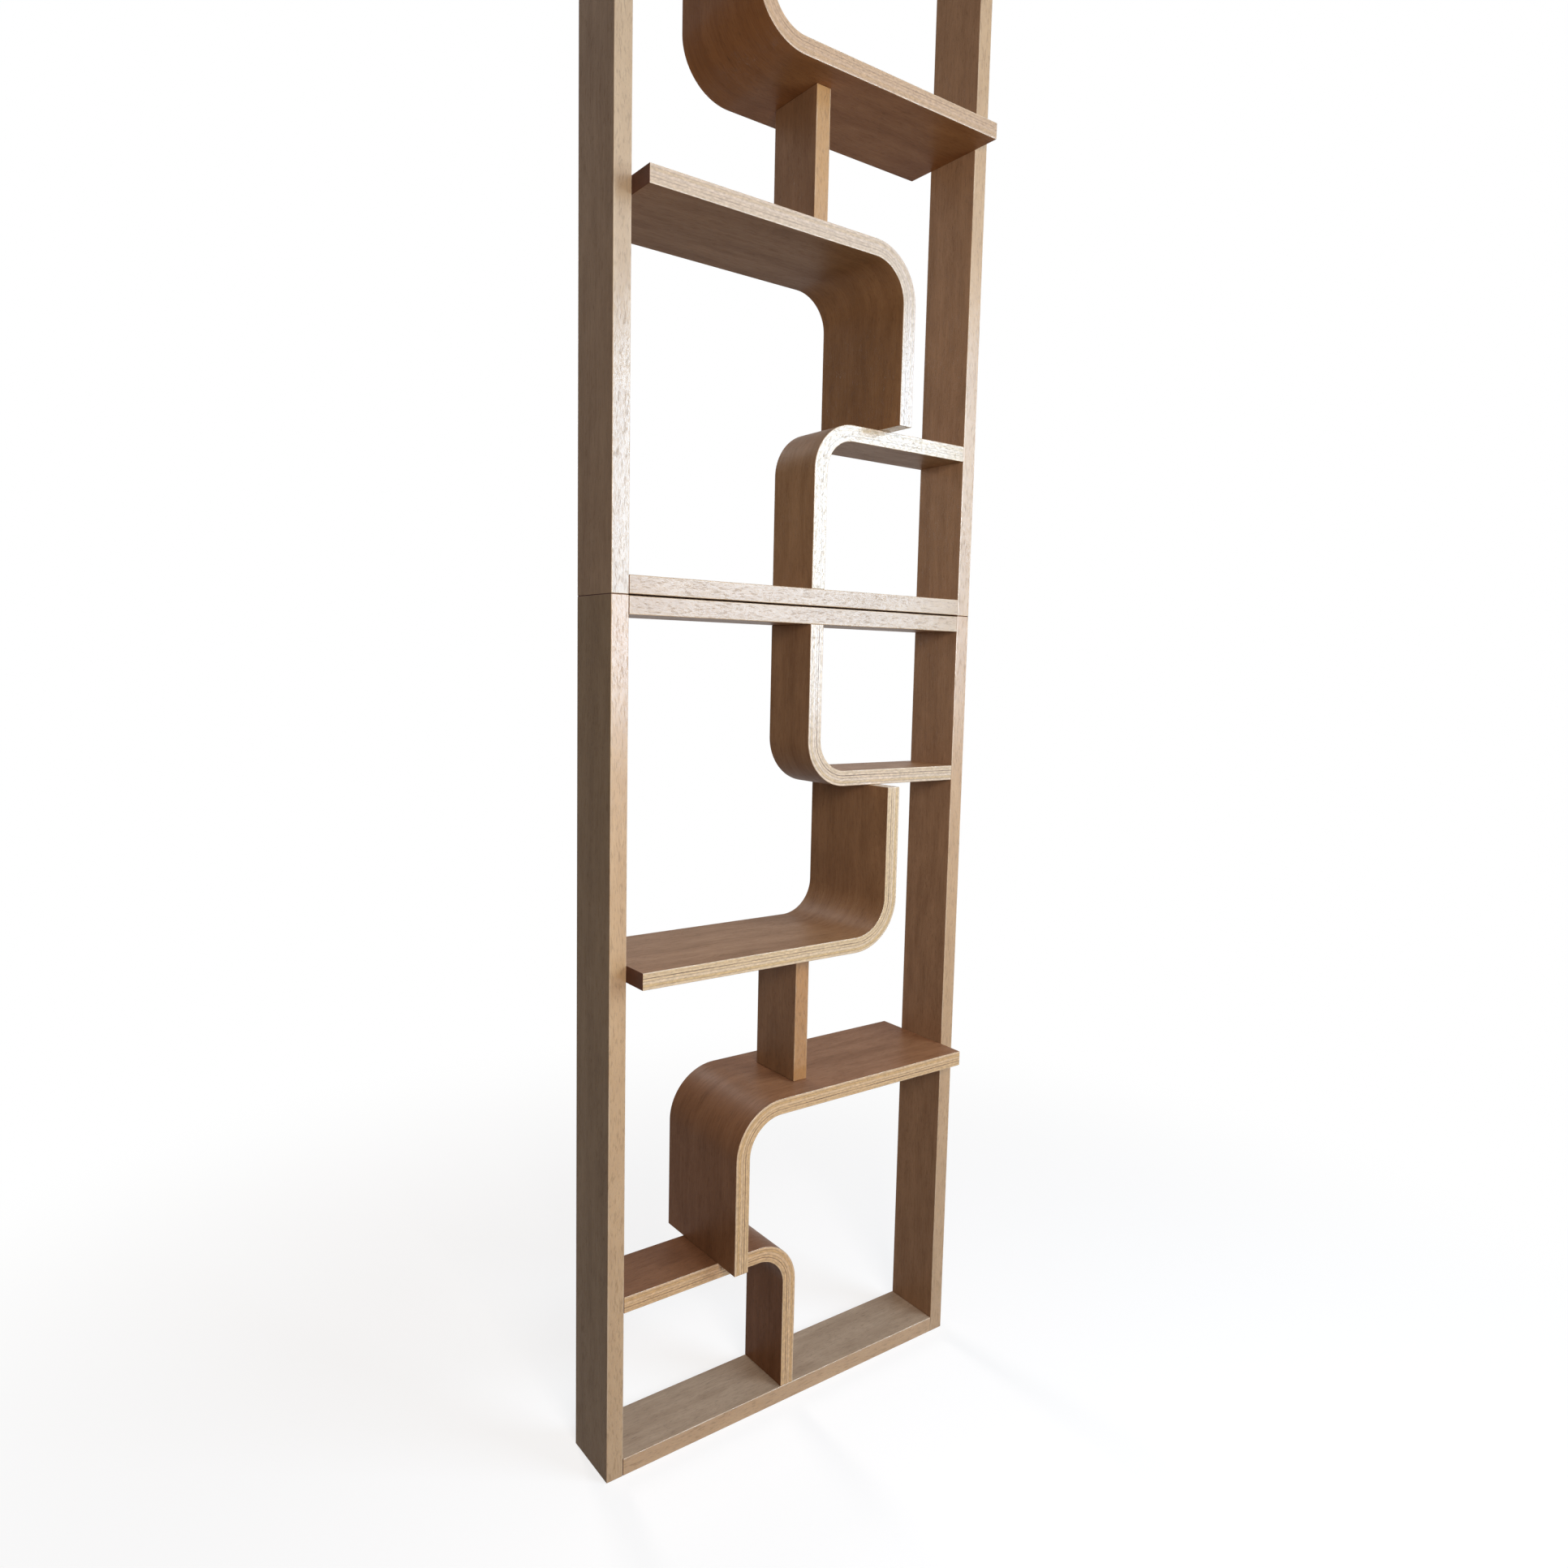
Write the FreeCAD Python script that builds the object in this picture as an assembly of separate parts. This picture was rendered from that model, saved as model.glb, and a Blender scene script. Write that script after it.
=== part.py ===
"""Tall open wall unit: two stacked frames, each with four bent-plywood shelf strips and a post.

Millimetres. X runs to the right, the front faces -Y, Z is up. The origin is on the floor, at the
middle of the unit's width and depth.

Half of one module is drawn: a left upright, the outer rail, a small bend and a wide bend. A half turn
about the module's centre gives the other half, and the upper module mirrors the lower one at the seam.
"""
import FreeCAD, Part
import os

# Frame of one module
FRAME_WIDTH = 660.0
FRAME_DEPTH = 100.0
UPRIGHT_THICKNESS = 26.0
RAIL_THICKNESS = 26.0
LIPPING_THICKNESS = 6.0

# Bent strips: thickness, outer radius of each bend, overhang of the wide strips past the frame
BEND_THICKNESS = 24.0
SMALL_BEND_RADIUS = 72.0
WIDE_BEND_RADIUS = 80.0
WIDE_OVERHANG = 45.0

# Clear heights of the bays, from the outer rail to the middle of the module
RAIL_BAY_HEIGHT = 221.0
LEG_BAY_HEIGHT = 229.0
POST_HEIGHT = 202.0
POST_THICKNESS = 25.0

# Flat of a small shelf between its bend and the wide leg that stands on it
WIDE_LEG_SETBACK = 51.0

# Blind dowels at every butt joint, a pair to each joint
DOWEL_DIAMETER = 8.0
DOWEL_SPACING = 50.0
DOWEL_DEPTH_IN_FACE = 14.0
DOWEL_DEPTH_IN_END = 26.0
DOWEL_CHAMFER = 1.0
DOWEL_END_GAP = 1.0
DOWEL_CLEARANCE = 0.1

# Locating pins between the two modules, one in the end of each upright
PIN_DIAMETER = 10.0
PIN_DEPTH = 25.0
PIN_STAND = 20.0
PIN_CLEARANCE = 0.3

# Derived places, in one module that stands on the floor. The outer faces of the small bends' legs lie
# on the module's centre plane.
INNER_HALF = FRAME_WIDTH / 2 - UPRIGHT_THICKNESS
FRAME_HALF_DEPTH = FRAME_DEPTH / 2
WIDE_HALF_DEPTH = FRAME_HALF_DEPTH + WIDE_OVERHANG
SMALL_SHELF_TOP = RAIL_THICKNESS + RAIL_BAY_HEIGHT + BEND_THICKNESS
WIDE_SHELF_TOP = SMALL_SHELF_TOP + LEG_BAY_HEIGHT + BEND_THICKNESS
MODULE_HEIGHT = 2 * WIDE_SHELF_TOP + POST_HEIGHT
SMALL_LEG_FACE = 0.0
WIDE_LEG_FACE = SMALL_LEG_FACE - SMALL_BEND_RADIUS - WIDE_LEG_SETBACK - BEND_THICKNESS

X_AXIS = FreeCAD.Vector(1, 0, 0)
Y_AXIS = FreeCAD.Vector(0, 1, 0)
Z_AXIS = FreeCAD.Vector(0, 0, 1)
MODULE_CENTRE = FreeCAD.Vector(0, 0, MODULE_HEIGHT / 2)
SEAM_POINT = FreeCAD.Vector(0, 0, MODULE_HEIGHT)
HALF_TURN = 180.0


def box_between(low, high):
    """Box from its lowest corner to its highest corner."""
    size = [top - bottom for bottom, top in zip(low, high)]
    return Part.makeBox(*size, FreeCAD.Vector(*low))


def lipped_board(low, high):
    """A board with a solid strip glued to its front and back edges: the core, then the strips."""
    left, front, bottom = low
    right, back, top = high
    core_front = front + LIPPING_THICKNESS
    core_back = back - LIPPING_THICKNESS
    core = box_between((left, core_front, bottom), (right, core_back, top))
    strips = [
        box_between((left, front, bottom), (right, core_front, top)),
        box_between((left, core_back, bottom), (right, back, top)),
    ]
    return core, strips


def arc_at(centre_x, centre_z, radius, side):
    """Quarter arc from straight above its centre to the side that the leg is on."""
    diagonal = radius / 2 ** 0.5
    return Part.Arc(
        FreeCAD.Vector(centre_x, 0, centre_z + radius),
        FreeCAD.Vector(centre_x + side * diagonal, 0, centre_z + diagonal),
        FreeCAD.Vector(centre_x + side * radius, 0, centre_z),
    ).toShape()


def line_between(start, end):
    """Straight edge between two (x, z) points in the plane of the profile."""
    return Part.makeLine(FreeCAD.Vector(start[0], 0, start[1]), FreeCAD.Vector(end[0], 0, end[1]))


def bent_strip(end_x, shelf_top, leg_face, leg_foot, radius, half_depth):
    """A flat shelf from an upright that turns down into a leg, as one strip of even thickness."""
    side = 1 if leg_face > end_x else -1
    inner_radius = radius - BEND_THICKNESS
    inner_face = leg_face - side * BEND_THICKNESS
    underside = shelf_top - BEND_THICKNESS
    centre_x = leg_face - side * radius
    centre_z = shelf_top - radius
    edges = [
        line_between((end_x, shelf_top), (centre_x, shelf_top)),
        arc_at(centre_x, centre_z, radius, side),
        line_between((leg_face, centre_z), (leg_face, leg_foot)),
        line_between((leg_face, leg_foot), (inner_face, leg_foot)),
        line_between((inner_face, leg_foot), (inner_face, centre_z)),
        arc_at(centre_x, centre_z, inner_radius, side),
        line_between((centre_x, underside), (end_x, underside)),
        line_between((end_x, underside), (end_x, shelf_top)),
    ]
    profile = Part.Face(Part.Wire(Part.__sortEdges__(edges)))
    profile.translate(Y_AXIS * -half_depth)
    return profile.extrude(Y_AXIS * 2 * half_depth)


def peg(start, axis, length, diameter, chamfer):
    """Round peg with chamfered ends, from its start point along an axis."""
    body = Part.makeCylinder(diameter / 2, length, start, axis)
    rims = [edge for edge in body.Edges if isinstance(edge.Curve, Part.Circle)]
    return body.makeChamfer(chamfer, rims)


def dowel_pair(face_point, axis):
    """Two dowels across a butt joint and the holes they sit in.

    The axis points out of the board that offers its face, into the end of the other one.
    """
    dowels = []
    holes = []
    for offset in (-DOWEL_SPACING / 2, DOWEL_SPACING / 2):
        hole_start = face_point + Y_AXIS * offset - axis * DOWEL_DEPTH_IN_FACE
        hole_length = DOWEL_DEPTH_IN_FACE + DOWEL_DEPTH_IN_END
        hole_radius = DOWEL_DIAMETER / 2 + DOWEL_CLEARANCE
        holes.append(Part.makeCylinder(hole_radius, hole_length, hole_start, axis))
        dowel_start = hole_start + axis * DOWEL_END_GAP
        dowel_length = hole_length - 2 * DOWEL_END_GAP
        dowels.append(peg(dowel_start, axis, dowel_length, DOWEL_DIAMETER, DOWEL_CHAMFER))
    return dowels, holes


def turned(shape):
    """The same shape after a half turn about the module's centre."""
    copy = shape.copy()
    copy.rotate(MODULE_CENTRE, Y_AXIS, HALF_TURN)
    return copy


def mirrored(shape):
    """The same shape on the other side of the seam."""
    return shape.mirror(SEAM_POINT, Z_AXIS)


def half_boards():
    """Boards and strips of half a module, and the lippings of its frame boards."""
    boards = {}
    lippings = {}
    boards["left_upright"], lippings["left_upright"] = lipped_board(
        (-FRAME_WIDTH / 2, -FRAME_HALF_DEPTH, 0), (-INNER_HALF, FRAME_HALF_DEPTH, MODULE_HEIGHT)
    )
    boards["outer_rail"], lippings["outer_rail"] = lipped_board(
        (-INNER_HALF, -FRAME_HALF_DEPTH, 0), (INNER_HALF, FRAME_HALF_DEPTH, RAIL_THICKNESS)
    )
    boards["outer_small_bend"] = bent_strip(
        -INNER_HALF, SMALL_SHELF_TOP, SMALL_LEG_FACE, RAIL_THICKNESS, SMALL_BEND_RADIUS, FRAME_HALF_DEPTH
    )
    boards["outer_wide_bend"] = bent_strip(
        INNER_HALF, WIDE_SHELF_TOP, WIDE_LEG_FACE, SMALL_SHELF_TOP, WIDE_BEND_RADIUS, WIDE_HALF_DEPTH
    )
    return boards, lippings


TURNED_NAMES = {
    "left_upright": "right_upright",
    "outer_rail": "seam_rail",
    "outer_small_bend": "inner_small_bend",
    "outer_wide_bend": "inner_wide_bend",
}


def half_joints():
    """Butt joints of half a module: dowel group, boards that meet there, place and axis."""
    rail_middle = RAIL_THICKNESS / 2
    bend_middle = BEND_THICKNESS / 2
    left = FreeCAD.Vector(-INNER_HALF, 0, 0)
    right = FreeCAD.Vector(INNER_HALF, 0, 0)
    small_shelf = Z_AXIS * (SMALL_SHELF_TOP - bend_middle)
    wide_shelf = Z_AXIS * (WIDE_SHELF_TOP - bend_middle)
    small_foot = FreeCAD.Vector(SMALL_LEG_FACE - bend_middle, 0, RAIL_THICKNESS)
    wide_foot = FreeCAD.Vector(WIDE_LEG_FACE + bend_middle, 0, SMALL_SHELF_TOP)
    post_foot = FreeCAD.Vector(0, 0, WIDE_SHELF_TOP)
    return [
        ("frame", ("left_upright", "outer_rail"), left + Z_AXIS * rail_middle, X_AXIS),
        ("frame", ("right_upright", "outer_rail"), right + Z_AXIS * rail_middle, -X_AXIS),
        ("shelf", ("left_upright", "outer_small_bend"), left + small_shelf, X_AXIS),
        ("shelf", ("right_upright", "outer_wide_bend"), right + wide_shelf, -X_AXIS),
        ("leg", ("outer_rail", "outer_small_bend"), small_foot, Z_AXIS),
        ("leg", ("outer_small_bend", "outer_wide_bend"), wide_foot, Z_AXIS),
        ("post", ("outer_wide_bend", "post"), post_foot, Z_AXIS),
    ]


def turned_name(board):
    """Name of the board that takes this board's place after the half turn."""
    for name, partner in TURNED_NAMES.items():
        if board == name:
            return partner
        if board == partner:
            return name
    return board


def module():
    """All solids of the module that stands on the floor, by node name."""
    boards, lippings = half_boards()
    for name, partner in TURNED_NAMES.items():
        boards[partner] = turned(boards[name])
        if name in lippings:
            lippings[partner] = [turned(strip) for strip in lippings[name]]
    boards["post"], lippings["post"] = lipped_board(
        (-POST_THICKNESS / 2, -FRAME_HALF_DEPTH, WIDE_SHELF_TOP),
        (POST_THICKNESS / 2, FRAME_HALF_DEPTH, WIDE_SHELF_TOP + POST_HEIGHT),
    )
    holes = {name: [] for name in boards}
    dowels = {}
    for group, names, point, axis in half_joints():
        pair, pair_holes = dowel_pair(point, axis)
        pair += [turned(dowel) for dowel in pair]
        dowels.setdefault(group + "_dowels", []).extend(pair)
        for name in names:
            holes[name] += pair_holes
            holes[turned_name(name)] += [turned(hole) for hole in pair_holes]
    nodes = {name: [board.cut(holes[name])] for name, board in boards.items()}
    nodes.update({name + "_lippings": strips for name, strips in lippings.items()})
    nodes.update(dowels)
    return nodes


def seam_pins():
    """Locating pins of the seam, and the holes for them in the lower and the upper uprights."""
    pins = []
    lower_holes = []
    upper_holes = []
    upright_middle = (FRAME_WIDTH - UPRIGHT_THICKNESS) / 2
    for x in (-upright_middle, upright_middle):
        foot = FreeCAD.Vector(x, 0, MODULE_HEIGHT - PIN_DEPTH)
        seam = foot + Z_AXIS * PIN_DEPTH
        pins.append(peg(foot, Z_AXIS, PIN_DEPTH + PIN_STAND, PIN_DIAMETER, DOWEL_CHAMFER))
        glued_radius = PIN_DIAMETER / 2 + DOWEL_CLEARANCE
        lower_holes.append(Part.makeCylinder(glued_radius, PIN_DEPTH, foot, Z_AXIS))
        loose_radius = PIN_DIAMETER / 2 + PIN_CLEARANCE
        upper_holes.append(Part.makeCylinder(loose_radius, PIN_STAND + DOWEL_END_GAP, seam, Z_AXIS))
    return pins, lower_holes, upper_holes


def wall_unit():
    """Solids of the whole unit, by node name."""
    lower = module()
    upper = {name: [mirrored(solid) for solid in solids] for name, solids in lower.items()}
    pins, lower_holes, upper_holes = seam_pins()
    for name in ("left_upright", "right_upright"):
        lower[name] = [upright.cut(lower_holes) for upright in lower[name]]
        upper[name] = [upright.cut(upper_holes) for upright in upper[name]]
    nodes = {"lower_" + name: solids for name, solids in lower.items()}
    nodes.update({"upper_" + name: solids for name, solids in upper.items()})
    nodes["seam_pins"] = pins
    return nodes


def main():
    os.makedirs("parts", exist_ok=True)
    for name, solids in wall_unit().items():
        shape = solids[0] if len(solids) == 1 else Part.makeCompound(solids)
        shape.exportStep("parts/" + name + ".step")
        print(name, len(shape.Solids), "solids", round(shape.Volume / 1000), "cm3", shape.isValid())
    print("height", 2 * MODULE_HEIGHT, "width", FRAME_WIDTH, "depth", 2 * WIDE_HALF_DEPTH)


main()
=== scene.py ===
"""Looks of a tall wall unit: two stacked veneered frames with bent plywood shelves.

Laid out as an add-on: settings, node trees for the boards and the bent strips, finishes, one operator
for each group of like pieces and one for the stage, and a panel. Run as a script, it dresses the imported
frame. Everything is in metres: X to the right, the front faces -Y, Z up, the origin on the floor.
"""
import math

import bpy
from bpy.props import FloatProperty, FloatVectorProperty, IntProperty, PointerProperty
from mathutils import Matrix, Vector


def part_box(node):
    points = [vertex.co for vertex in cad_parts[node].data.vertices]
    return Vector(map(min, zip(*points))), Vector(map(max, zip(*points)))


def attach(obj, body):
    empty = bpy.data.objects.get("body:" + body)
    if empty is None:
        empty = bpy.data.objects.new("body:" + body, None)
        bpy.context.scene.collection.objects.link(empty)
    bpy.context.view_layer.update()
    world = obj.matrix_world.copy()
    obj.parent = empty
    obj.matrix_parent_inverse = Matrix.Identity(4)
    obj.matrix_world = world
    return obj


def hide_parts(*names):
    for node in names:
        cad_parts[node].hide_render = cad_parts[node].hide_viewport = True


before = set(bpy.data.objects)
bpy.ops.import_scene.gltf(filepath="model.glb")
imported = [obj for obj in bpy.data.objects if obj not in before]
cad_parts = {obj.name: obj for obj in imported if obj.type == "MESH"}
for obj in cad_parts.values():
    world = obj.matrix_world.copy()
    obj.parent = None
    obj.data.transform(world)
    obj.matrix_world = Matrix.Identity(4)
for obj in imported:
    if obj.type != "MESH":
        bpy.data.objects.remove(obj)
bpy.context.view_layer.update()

bl_info = {
    "name": "Bent plywood wall unit",
    "version": (1, 0, 0),
    "blender": (4, 5, 0),
    "location": "View3D > Sidebar > Wall Unit",
    "description": "Dresses a packed wall unit with veneered boards and bent plywood strips",
    "category": "Object",
}

PHOTO_PIXELS = 1932
SENSOR_WIDTH = 36.0
QUARTER_TURN = math.pi / 2
WHITE = (1.0, 1.0, 1.0, 1.0)

MODULES = ("lower", "upper")
UPRIGHTS = ("left_upright", "right_upright")
BOARDS = UPRIGHTS + ("outer_rail", "seam_rail", "post")
UPRIGHT_BOARDS = UPRIGHTS + ("post",)
LENGTHWISE_DOWELS = ("frame_dowels", "shelf_dowels")
STANDING_DOWELS = ("leg_dowels", "post_dowels")

# Bent strips of the lower module: side that the leg is on, and whether the leg goes up or down
STRIPS = {
    "outer_small_bend": (1, -1),
    "outer_wide_bend": (-1, -1),
    "inner_wide_bend": (1, 1),
    "inner_small_bend": (-1, 1),
}

# Attributes that the node trees store and the finishes read
GRAIN_PLACE = "grain_place"
HALF_SIZE = "half_size"
FACE_TINT = "face_tint"
EDGE_TINT = "edge_tint"
EDGE_POLISH = "edge_polish"
BOARD_END = "board_end"
BOARD_FACE = "board_face"

# Tints of the faces of boards and strips, fitted piece by piece: partly paler, darker or warmer wood, partly
# painted light and shade, such as painted shade that makes the lower left upright darker and greyer than the
# upper one, and a painted sheen that makes the outer rails paler and greyer
PLAIN_TINT = (1.0, 1.0, 1.0)
FACE_TINTS_AND_PAINTED_LIGHT = {
    "upper_left_upright": (0.93, 1.03, 0.98),
    "lower_left_upright": (0.71, 0.78, 0.61),
    "upper_right_upright": (1.07, 1.14, 1.16),
    "lower_right_upright": (1.00, 1.06, 1.10),
    "outer_rail": (1.08, 1.46, 1.90),
    "seam_rail": (1.00, 1.05, 1.10),
    "post": (0.84, 0.82, 0.75),
    "outer_small_bend": (0.60, 0.50, 0.44),
    "upper_outer_wide_bend": (0.81, 0.64, 0.43),
    "lower_outer_wide_bend": (0.78, 0.69, 0.63),
    "upper_inner_wide_bend": (0.82, 0.77, 0.62),
    "lower_inner_wide_bend": (0.87, 0.86, 0.79),
    "upper_inner_small_bend": (1.02, 1.06, 0.98),
    "lower_inner_small_bend": (0.90, 0.89, 0.82),
}
# Tints of the edges, fitted piece by piece: partly the wood's own tone, partly painted light, such as a
# painted cool glare that makes the edges of the upper uprights and small bends bluer and paler
EDGE_TINTS_AND_PAINTED_LIGHT = {
    "upper_post": (0.90, 0.76, 0.49),
    "lower_post": (0.87, 0.66, 0.39),
    "outer_rail": (1.09, 1.05, 1.03),
    "seam_rail": (0.93, 0.99, 1.07),
    "upper_left_upright": (0.96, 1.08, 1.26),
    "lower_left_upright": (1.07, 1.07, 1.06),
    "lower_right_upright": (1.00, 0.95, 0.90),
    "upper_outer_wide_bend": (0.79, 0.75, 0.81),
    "upper_inner_wide_bend": (0.84, 0.92, 1.18),
    "upper_inner_small_bend": (0.96, 1.08, 1.30),
    "lower_inner_small_bend": (0.93, 0.98, 1.12),
    "lower_inner_wide_bend": (1.00, 1.04, 1.10),
    "lower_outer_small_bend": (1.05, 0.93, 0.80),
    "lower_outer_wide_bend": (1.00, 0.92, 0.82),
}
# Boards whose edges have a thinner polish than the rest
FULL_POLISH = 0.86
POLISHES = {"seam_rail": 0.48}
# Strength of the layers and glue lines on the edges of each module's bent strips; on the upper strips it is
# halved, a painted glare that washes the lines out
PLY_CONTRAST = {"lower": 1.0, "upper": 0.5}

# Meshes of the boards and strips
ARRIS_STEPS = 2
CROSS_POINTS = 2 * (ARRIS_STEPS + 1)
BORE_SIDES = 48
MERGE_DISTANCE = 1e-6
SMOOTH_ANGLE = math.radians(12.0)
# Least share of a face's normal along the board for its end, and across it for its broad face
END_LIMIT = 0.3
# Arris faces fall short of the face limit and take the pale edge finish: partly veneer sanded through at the
# arris, partly a painted highlight along it
FACE_LIMIT = 0.95

# Noises: length of a cell along the grain, width across it, detail, and roughness where it is its own
BAND_NOISE = (0.60, 0.030, 2.0)
STREAK_NOISE = (0.20, 0.0058, 4.0)
FIBRE_NOISE = (0.070, 0.0011, 3.0)
MOTTLE_NOISE = (0.060, 0.022, 3.0)
WANDER_NOISE = (0.35, 0.10, 1.0)
FLECK_NOISE = (0.013, 0.0024, 2.0)
PORE_NOISE = (0.016, 0.00042, 1.0)
SWAY_NOISE = (0.16, 0.05, 2.0)
PATCH_NOISE = (0.06, 0.006, 3.0)
SPECKLE_NOISE = (0.007, 0.0028, 3.0, 0.7)
WEAR_AND_HIGHLIGHT_NOISE = (0.11, 0.012, 4.0, 0.65)
GRIT_NOISE = (0.0048, 0.0019, 2.0)
END_PORE_NOISE = (0.0012, 0.0012, 3.0)
END_CLOUD_NOISE = (0.02, 0.02, 2.0)
NOISE_ROUGHNESS = 0.55
NOISE_MIDDLE = 0.5
# Ramps: where an effect starts and where it is full, then its strength at both where that isn't 0 and 1
FLECK_RAMP = (0.54, 0.66)
PORE_RAMP = (0.60, 0.74)
LINE_RAMP = (0.24, 0.07)
PATCH_RAMP = (0.25, 0.65, 0.45, 1.0)
SPECKLE_RAMP = (0.52, 0.30)
WEAR_AND_HIGHLIGHT_RAMP = (0.34, 0.62)
GRIT_RAMP = (0.36, 0.60, 0.45, 1.0)
END_TONE_RAMP = (0.35, 0.95)

# Layers of the figure with their weights, and how far the grain wanders from side to side
FIGURE_LAYERS = ((BAND_NOISE, 1.2), (STREAK_NOISE, 0.75), (FIBRE_NOISE, 0.9), (MOTTLE_NOISE, 1.3))
WANDER = 0.05
# What pores, flecks and the pale figure add to the shade and the roughness
PORE_SHADE = -0.55
FLECK_SHADE = -0.30
FLECK_ROUGHNESS = 0.16
FIGURE_ROUGHNESS = -0.08
# Figured woods: contrast, pores, flecks and roughness
WOODS = {
    "veneer": (0.95, 0.8, 0.4, 0.48),
    "lipping": (0.8, 0.6, 0.7, 0.44),
    "dowel": (0.8, 0.9, 1.0, 0.66),
}
# Edges of the bent strips: sway and tones of the layers, number of the heavy glue line, least weight of
# the other lines and its spread, shade of the speckle, and roughness
SWAY = 0.45
TURNED_TONE = 0.45
LAYER_TONE = 0.55
HEAVY_LINE = 2.0
FAINT_LINE = 0.2
LINE_SPREAD = 0.4
SPECKLE_SHADE = 1.4
PLY_ROUGHNESS = 0.40
LINE_ROUGHNESS = 0.2
# Stained ends: tones of the pores and the clouds, how much paler the stain gets, and roughness
END_PORE_TONE = 0.7
END_CLOUD_TONE = 0.6
END_PALENESS = 1.9
END_ROUGHNESS = 0.45
END_PORE_ROUGHNESS = 0.15
# Arrises paled by use and by a painted highlight: how far that reaches, and its strength on faces and edges
WEAR_AND_HIGHLIGHT_REACH = 0.0022
FACE_RUBBING_AND_HIGHLIGHT = 0.25
EDGE_RUBBING_AND_HIGHLIGHT = 0.8
# Lacquer and polish
RELIEF = 0.0002
RELIEF_STRENGTH = 0.5
FACE_SHINE = 0.14
PRESSED_SHINE = 0.07
EDGE_SHINE = 0.45
HOLLOW_DULLING = 0.7
POLISH_ROUGHNESS = 0.2
POLISH_IOR = 1.65

# Lamps: place, aim, width, height and colour
LAMPS = {
    "key": ((1.32, -2.05, 1.65), (0.0, 0.0, 1.35), 1.35, 1.4, (0.58, 0.78, 1.0)),
    "front": ((-0.70, -1.85, 1.50), (0.0, 0.0, 1.15), 0.8, 0.8, (1.0, 1.0, 1.0)),
    "top": ((0.00, -0.60, 3.80), (0.0, 0.0, 1.20), 1.4, 1.4, (1.0, 1.0, 1.0)),
    "back": ((0.18, 2.60, 2.10), (0.0, 0.0, 1.25), 0.5, 1.6, (1.0, 1.0, 1.0)),
}
# Floor: colour that it throws on the unit, colour and glow that the camera sees, and the distances
# between which it fades to white
FLOOR_BOUNCE = (0.30, 0.255, 0.20, 1.0)
FLOOR_COLOUR = (0.31, 0.283, 0.265, 1.0)
FLOOR_GLOW = 0.74
FLOOR_FADE = (0.6, 1.8)


class BoardSettings(bpy.types.PropertyGroup):
    """Shape of the straight boards."""
    arris: FloatProperty(
        name="Arris", description="Radius of the eased edges", default=0.0012, unit="LENGTH")
    seam_gap: FloatProperty(
        name="Seam gap", description="How far each seam rail stops short of the seam",
        default=0.0012, unit="LENGTH")
    grain_step: FloatProperty(
        name="Grain step", description="How far along the log each next piece is cut",
        default=3.7, unit="LENGTH")
    pin_clearance: FloatProperty(
        name="Pin clearance", description="Room round a locating pin in its hole",
        default=0.0002, unit="LENGTH")


class StripSettings(bpy.types.PropertyGroup):
    """Shape of the bent strips."""
    thickness: FloatProperty(
        name="Thickness", description="Thickness of a pressed strip", default=0.024, unit="LENGTH")
    small_radius: FloatProperty(
        name="Small bend", description="Outer radius of the small bends", default=0.072, unit="LENGTH")
    wide_radius: FloatProperty(
        name="Wide bend", description="Outer radius of the wide bends", default=0.080, unit="LENGTH")
    arris: FloatProperty(
        name="Arris", description="Radius of the eased edges", default=0.0010, unit="LENGTH")
    segments: IntProperty(
        name="Segments", description="Steps along a strip", default=128, min=8)


class FinishSettings(bpy.types.PropertyGroup):
    """Colours of the wood."""
    veneer_pale: FloatVectorProperty(
        name="Veneer, pale", description="Pale figure of the brown veneer", subtype="COLOR",
        size=4, default=(0.40, 0.205, 0.105, 1.0))
    veneer_dark: FloatVectorProperty(
        name="Veneer, dark", description="Dark figure of the brown veneer", subtype="COLOR",
        size=4, default=(0.26, 0.125, 0.060, 1.0))
    ply_pale: FloatVectorProperty(
        name="Ply, pale", description="Palest plies of the bent strips", subtype="COLOR",
        size=4, default=(0.58, 0.385, 0.225, 1.0))
    ply_tan: FloatVectorProperty(
        name="Ply, tan", description="Yellowest plies of the bent strips", subtype="COLOR",
        size=4, default=(0.50, 0.305, 0.13, 1.0))
    glue: FloatVectorProperty(
        name="Glue line", description="Lines between the plies", subtype="COLOR",
        size=4, default=(0.12, 0.060, 0.028, 1.0))
    lipping_pale: FloatVectorProperty(
        name="Lipping, pale", description="Pale figure of the edge strips", subtype="COLOR",
        size=4, default=(0.485, 0.292, 0.147, 1.0))
    lipping_dark: FloatVectorProperty(
        name="Lipping, dark", description="Dark figure of the edge strips", subtype="COLOR",
        size=4, default=(0.385, 0.220, 0.106, 1.0))
    # Pale wood along the arrises, where use has paled them, and a painted highlight there
    rubbed_and_highlit: FloatVectorProperty(
        name="Rubbed arrises", description="Pale wood where the arrises are rubbed", subtype="COLOR",
        size=4, default=(0.62, 0.45, 0.30, 1.0))
    stain: FloatVectorProperty(
        name="Stained ends", description="Dark stain on the ends of boards and shelves", subtype="COLOR",
        size=4, default=(0.070, 0.024, 0.0115, 1.0))
    dowel_pale: FloatVectorProperty(
        name="Dowel, pale", description="Pale figure of the dowels", subtype="COLOR",
        size=4, default=(0.68, 0.48, 0.30, 1.0))
    dowel_dark: FloatVectorProperty(
        name="Dowel, dark", description="Dark figure of the dowels", subtype="COLOR",
        size=4, default=(0.50, 0.31, 0.17, 1.0))
    ply: FloatProperty(
        name="Ply thickness", description="Thickness of one layer of a bent strip",
        default=0.0040, unit="LENGTH")


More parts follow.
